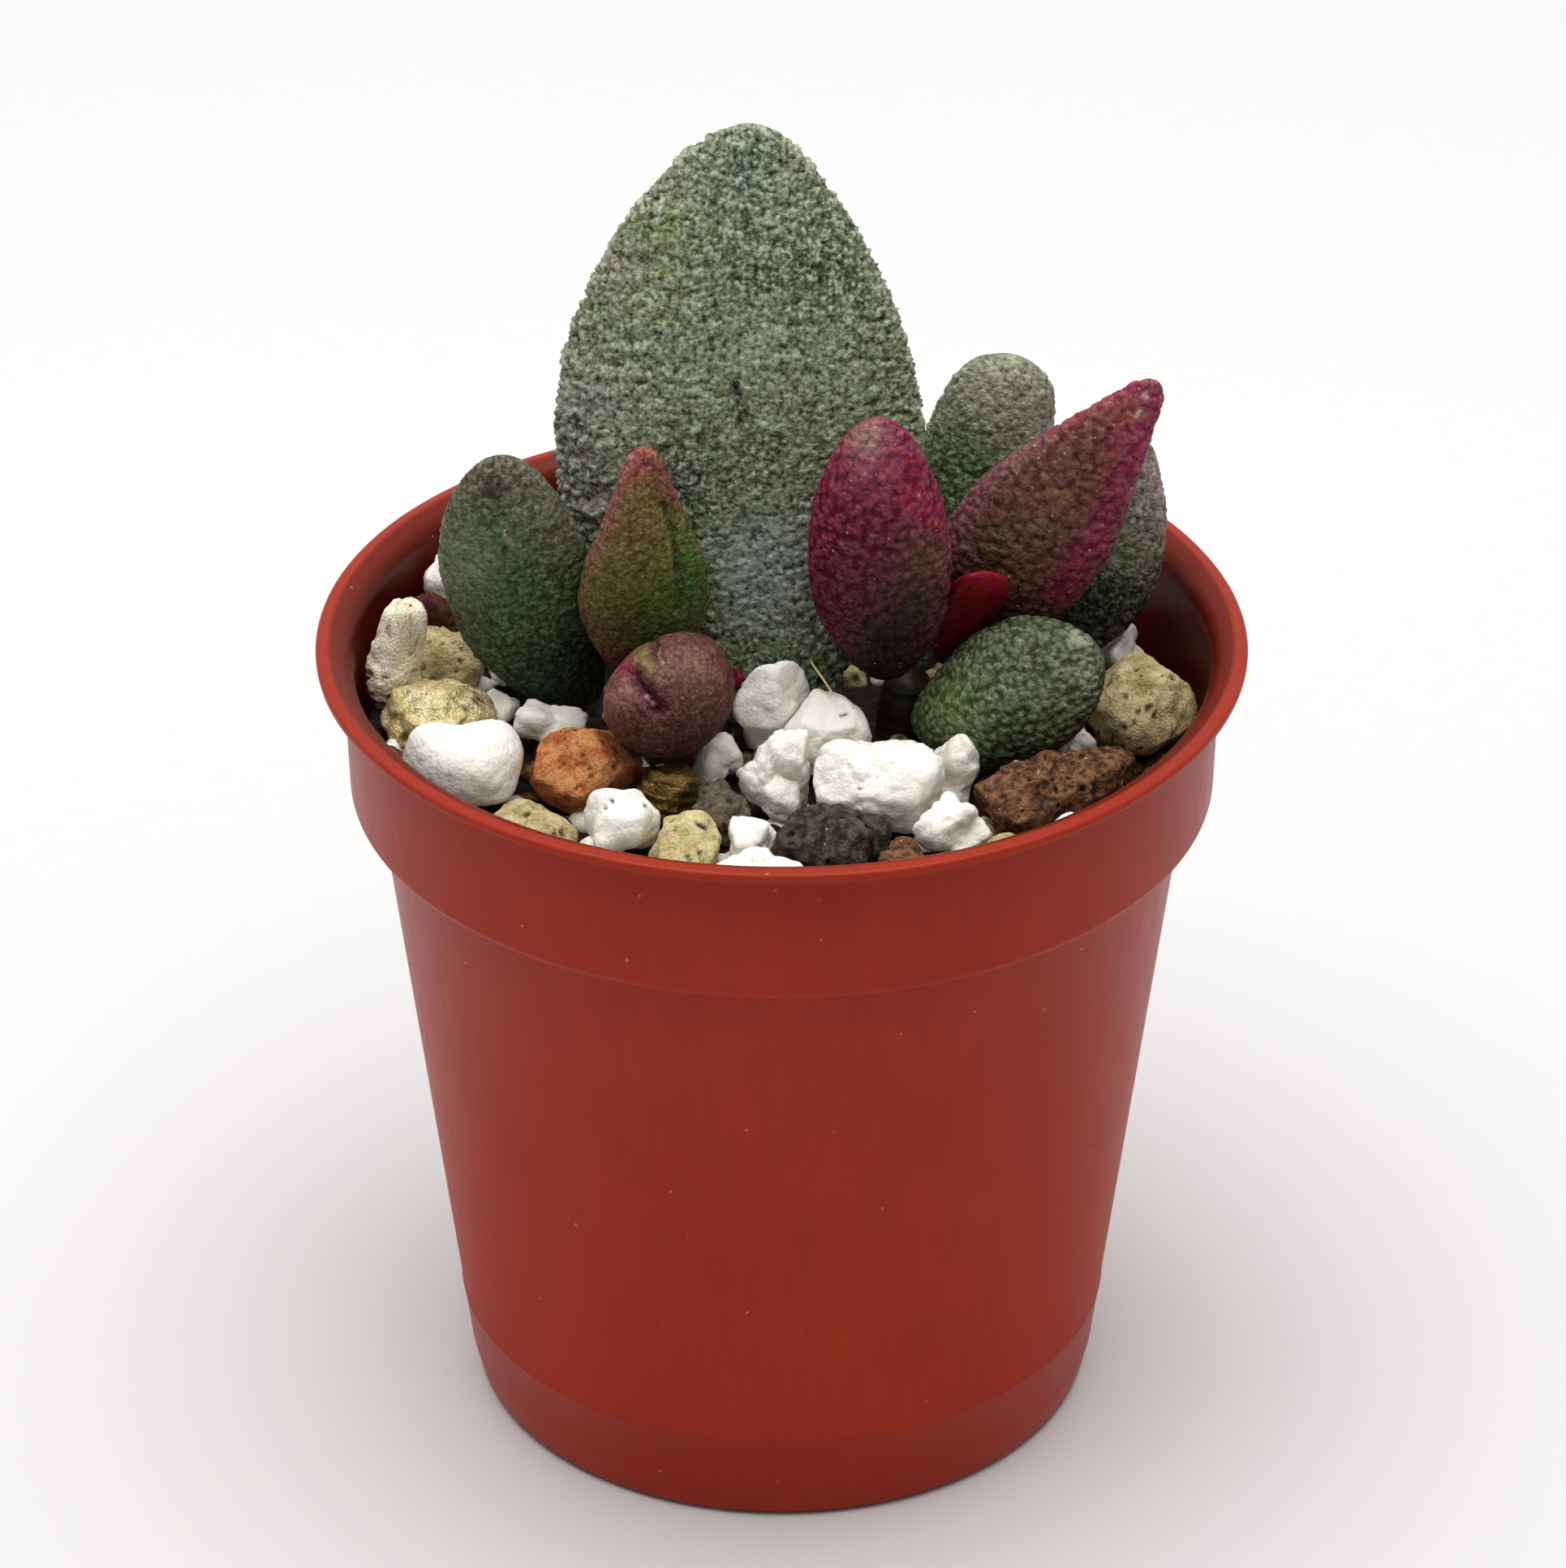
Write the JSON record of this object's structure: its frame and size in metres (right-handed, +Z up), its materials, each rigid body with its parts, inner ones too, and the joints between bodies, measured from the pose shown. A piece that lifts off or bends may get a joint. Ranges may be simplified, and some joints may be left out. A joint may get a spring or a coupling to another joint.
{
  "type": "potted succulent",
  "caption": "A small tapered nursery pot filled with gritty mix, holding a broad warty mother leaf and two young plantlets of plump coloured leaves.",
  "frame": {"origin": "middle of the pot's underside, on the surface the pot stands on", "axes": "+Z up along the pot's axis, -Y towards the front of the plant, +X to the viewer's right"},
  "size_m": [0.055, 0.055, 0.0807],
  "materials": {
    "moulded_plastic": "satin injection-moulded terracotta-red plastic with faint flow lines",
    "potting_mix": "matt dark grit",
    "stem": "dull red-brown plant stem",
    "leaf_mother": "grey-green warty leaf skin with frosted granules",
    "leaf_left_green": "satin leaf skin with fine bumps",
    "leaf_left_drop": "satin leaf skin with fine bumps",
    "leaf_left_bud": "satin leaf skin with fine bumps",
    "leaf_left_tiny": "smooth satin leaf skin",
    "leaf_right_magenta": "satin leaf skin with fine bumps",
    "leaf_right_back": "satin leaf skin with fine bumps",
    "leaf_right_pointed": "satin leaf skin with fine bumps",
    "leaf_right_grey": "satin leaf skin with fine bumps",
    "leaf_right_crimson": "smooth satin leaf skin",
    "leaf_right_lying": "satin leaf skin with fine bumps",
    "leaf_right_tiny": "smooth satin leaf skin",
    "perlite": "white crumbly expanded perlite",
    "pumice": "khaki pitted pumice",
    "lava": "dark vesicular lava",
    "clay": "dull orange-brown clay",
    "vermiculite": "gold layered vermiculite with a metallic sheen"
  },
  "bodies": {
    "root": {"pot": "moulded_plastic", "soil": "potting_mix", "stem_left": "stem", "stem_right": "stem", "leaf_mother": "leaf_mother", "leaf_left_green": "leaf_left_green", "leaf_left_drop": "leaf_left_drop", "leaf_left_bud": "leaf_left_bud", "leaf_left_tiny": "leaf_left_tiny", "leaf_right_magenta": "leaf_right_magenta", "leaf_right_back": "leaf_right_back", "leaf_right_pointed": "leaf_right_pointed", "leaf_right_grey": "leaf_right_grey", "leaf_right_crimson": "leaf_right_crimson", "leaf_right_lying": "leaf_right_lying", "leaf_right_tiny": "leaf_right_tiny", "perlite_01": "perlite", "perlite_02": "perlite", "clay_01": "clay", "pumice_01": "pumice", "perlite_03": "perlite", "vermiculite_01": "vermiculite", "pumice_02": "pumice", "lava_01": "lava", "perlite_04": "perlite", "perlite_05": "perlite", "perlite_06": "perlite", "perlite_07": "perlite", "perlite_08": "perlite", "perlite_09": "perlite", "lava_02": "lava", "perlite_10": "perlite", "perlite_11": "perlite", "lava_03": "lava", "perlite_12": "perlite", "pumice_03": "pumice", "perlite_13": "perlite", "pumice_04": "pumice", "lava_04": "lava", "pumice_05": "pumice", "vermiculite_02": "vermiculite", "perlite_14": "perlite", "perlite_15": "perlite", "perlite_16": "perlite", "perlite_17": "perlite", "perlite_18": "perlite", "perlite_19": "perlite", "lava_05": "lava", "pumice_06": "pumice", "perlite_20": "perlite", "pumice_07": "pumice", "perlite_21": "perlite", "lava_06": "lava", "perlite_22": "perlite", "clay_02": "clay", "perlite_23": "perlite", "pumice_08": "pumice", "perlite_24": "perlite", "lava_07": "lava", "perlite_25": "perlite"}
  },
  "joints": []
}
